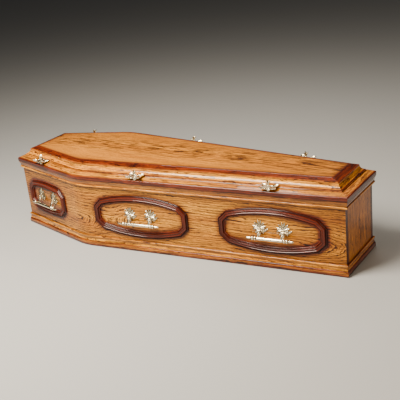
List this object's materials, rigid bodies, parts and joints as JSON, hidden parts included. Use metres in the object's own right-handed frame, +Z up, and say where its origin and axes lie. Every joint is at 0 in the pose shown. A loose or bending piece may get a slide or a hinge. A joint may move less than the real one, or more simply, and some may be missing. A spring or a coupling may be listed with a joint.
{
  "type": "wooden coffin",
  "caption": "Shouldered oak coffin with a raised lift-off lid, moulded plinth, dark applied panel frames, swinging bar handles and wreath holders, hollow inside.",
  "frame": {"origin": "middle of the underside of the closed coffin's bounding box, on the surface that it rests on", "axes": "+X towards the foot end, +Y towards the left long side, +Z up towards the lid"},
  "size_m": [1.95, 0.6546, 0.4479],
  "materials": {
    "oak": "golden oak under high-gloss lacquer",
    "end_oak": "brown oak under gloss lacquer",
    "stained_moulding": "mahogany stain under gloss lacquer",
    "pale_brass": "pale polished electro-brass"
  },
  "bodies": {
    "coffin": {"base_board": "oak", "foot_board": "end_oak", "handle_plate_left_foot_1": "pale_brass", "handle_plate_left_foot_2": "pale_brass", "handle_plate_left_head_1": "pale_brass", "handle_plate_left_head_2": "pale_brass", "handle_plate_left_middle_1": "pale_brass", "handle_plate_left_middle_2": "pale_brass", "handle_plate_right_foot_1": "pale_brass", "handle_plate_right_foot_2": "pale_brass", "handle_plate_right_head_1": "pale_brass", "handle_plate_right_head_2": "pale_brass", "handle_plate_right_middle_1": "pale_brass", "handle_plate_right_middle_2": "pale_brass", "head_board": "end_oak", "lid_board": "oak", "lid_moulding_foot": "oak", "lid_moulding_head": "oak", "lid_moulding_left": "oak", "lid_moulding_right": "oak", "lid_top_panel": "oak", "panel_frame_left_foot": "stained_moulding", "panel_frame_left_head": "stained_moulding", "panel_frame_left_middle": "stained_moulding", "panel_frame_right_foot": "stained_moulding", "panel_frame_right_head": "stained_moulding", "panel_frame_right_middle": "stained_moulding", "plinth_moulding_foot": "oak", "plinth_moulding_head": "oak", "plinth_moulding_left": "oak", "plinth_moulding_right": "oak", "side_board_left": "oak", "side_board_right": "oak", "top_moulding_foot": "oak", "top_moulding_head": "oak", "top_moulding_left": "oak", "top_moulding_right": "oak", "wreath_holder_left_foot": "pale_brass", "wreath_holder_left_head": "pale_brass", "wreath_holder_left_middle": "pale_brass", "wreath_holder_right_foot": "pale_brass", "wreath_holder_right_head": "pale_brass", "wreath_holder_right_middle": "pale_brass"},
    "handle_left_foot": {"handle_bar_left_foot": "pale_brass"},
    "handle_left_head": {"handle_bar_left_head": "pale_brass"},
    "handle_left_middle": {"handle_bar_left_middle": "pale_brass"},
    "handle_right_foot": {"handle_bar_right_foot": "pale_brass"},
    "handle_right_head": {"handle_bar_right_head": "pale_brass"},
    "handle_right_middle": {"handle_bar_right_middle": "pale_brass"}
  },
  "joints": [
    {"name": "handle_left_foot_swing", "type": "hinge", "parent": "coffin", "child": "handle_left_foot", "pos_m": [0.60732, 0.21749, 0.19185], "axis": [0.9945, -0.1043, 0], "range_deg": [0, 90]},
    {"name": "handle_left_head_swing", "type": "hinge", "parent": "coffin", "child": "handle_left_head", "pos_m": [-0.75712, 0.24476, 0.19185], "axis": [0.965, 0.2621, 0], "range_deg": [0, 90]},
    {"name": "handle_left_middle_swing", "type": "hinge", "parent": "coffin", "child": "handle_left_middle", "pos_m": [-0.093, 0.2909, 0.19185], "axis": [0.9945, -0.1043, 0], "range_deg": [0, 90]},
    {"name": "handle_right_foot_swing", "type": "hinge", "parent": "coffin", "child": "handle_right_foot", "pos_m": [0.60732, -0.21749, 0.19185], "axis": [-0.9945, -0.1043, 0], "range_deg": [0, 90]},
    {"name": "handle_right_head_swing", "type": "hinge", "parent": "coffin", "child": "handle_right_head", "pos_m": [-0.75712, -0.24476, 0.19185], "axis": [-0.965, 0.2621, 0], "range_deg": [0, 90]},
    {"name": "handle_right_middle_swing", "type": "hinge", "parent": "coffin", "child": "handle_right_middle", "pos_m": [-0.093, -0.2909, 0.19185], "axis": [-0.9945, -0.1043, 0], "range_deg": [0, 90]}
  ]
}
